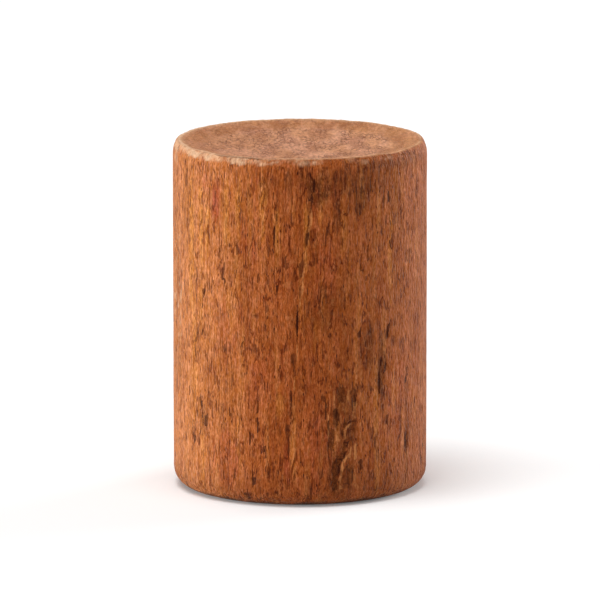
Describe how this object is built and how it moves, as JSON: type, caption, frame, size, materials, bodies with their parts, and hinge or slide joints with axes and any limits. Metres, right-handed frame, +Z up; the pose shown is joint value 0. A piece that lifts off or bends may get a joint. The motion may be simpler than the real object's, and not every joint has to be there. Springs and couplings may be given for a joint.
{
  "type": "perfume bottle cap",
  "caption": "Worn turned wooden cap, a cylinder with rounded edges and a shallow dished top; a moulded sleeve in its blind hole grips the collar of a spray pump.",
  "frame": {"origin": "centre of the foot, on the cap's own axis, in the plane that it stands on", "axes": "+Z up the axis from the open foot to the dished top, -Y to the front, which has the torn patch low on its right"},
  "size_m": [0.029, 0.029, 0.04],
  "materials": {
    "wooden_shell": "worn, dry, reddish-brown hardwood with open pores",
    "collar_insert": "satin, natural polypropylene"
  },
  "bodies": {
    "root": {"wooden_shell": "wooden_shell", "collar_insert": "collar_insert"}
  },
  "joints": []
}
